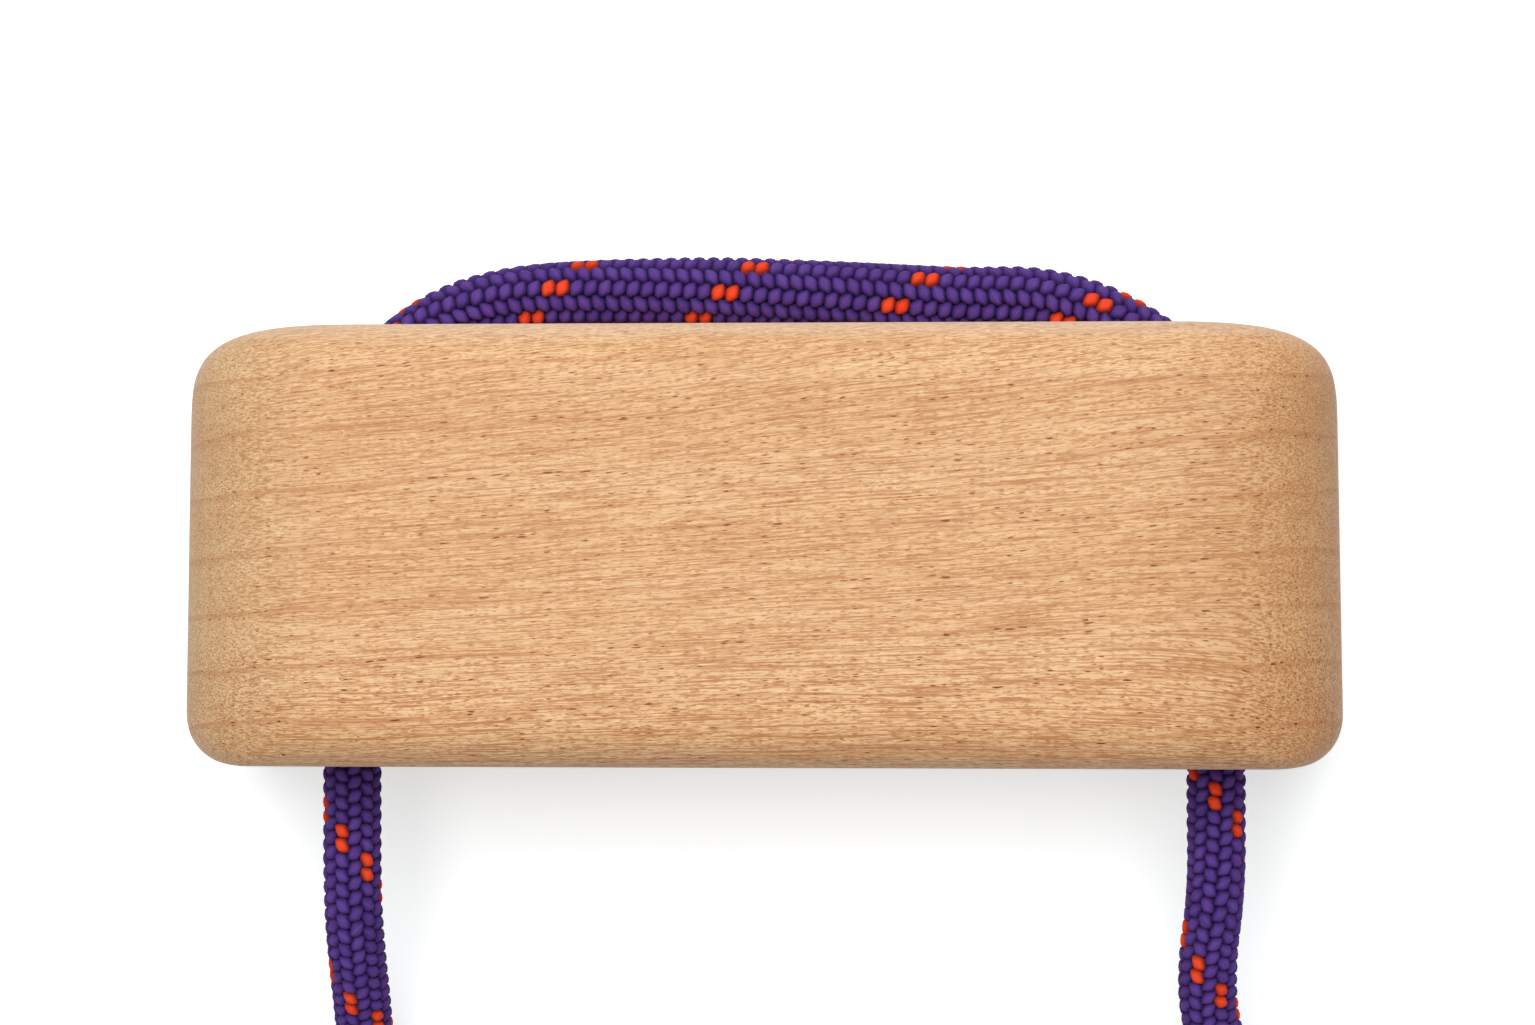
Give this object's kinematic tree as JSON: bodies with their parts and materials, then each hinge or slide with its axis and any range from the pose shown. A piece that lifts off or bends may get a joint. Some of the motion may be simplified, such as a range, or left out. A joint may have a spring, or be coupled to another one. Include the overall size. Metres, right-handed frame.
{
  "type": "hangboard",
  "caption": "Portable wooden finger-training block with a finger pocket in its back and a braided cord loop through its bores, coiled for storage.",
  "frame": {"origin": "on the surface the block lies on, under the middle of the box round the block and the cord's bridge", "axes": "+Z out of the plain front face, +Y from the cord's two legs towards its bridge, +X to the right seen from the front with the bridge at the top"},
  "size_m": [0.1352, 0.193, 0.038],
  "materials": {
    "wood": "fine sanded, lightly oiled pale hardwood with short dark pores",
    "cord": "braided polyamide sheath, purple with a pair of orange strands"
  },
  "bodies": {
    "block": {"block": "wood"},
    "cord": {"cord_through_block": "cord", "cord_leg_left": "cord", "cord_coil": "cord", "cord_run_to_knot": "cord", "cord_leg_right": "cord", "knot_half_upper": "cord", "knot_half_lower": "cord"}
  },
  "joints": [
    {"name": "cord_slide", "type": "slide", "parent": "block", "child": "cord", "axis": [0, 1, 0], "range_m": [0, 0.015]}
  ]
}
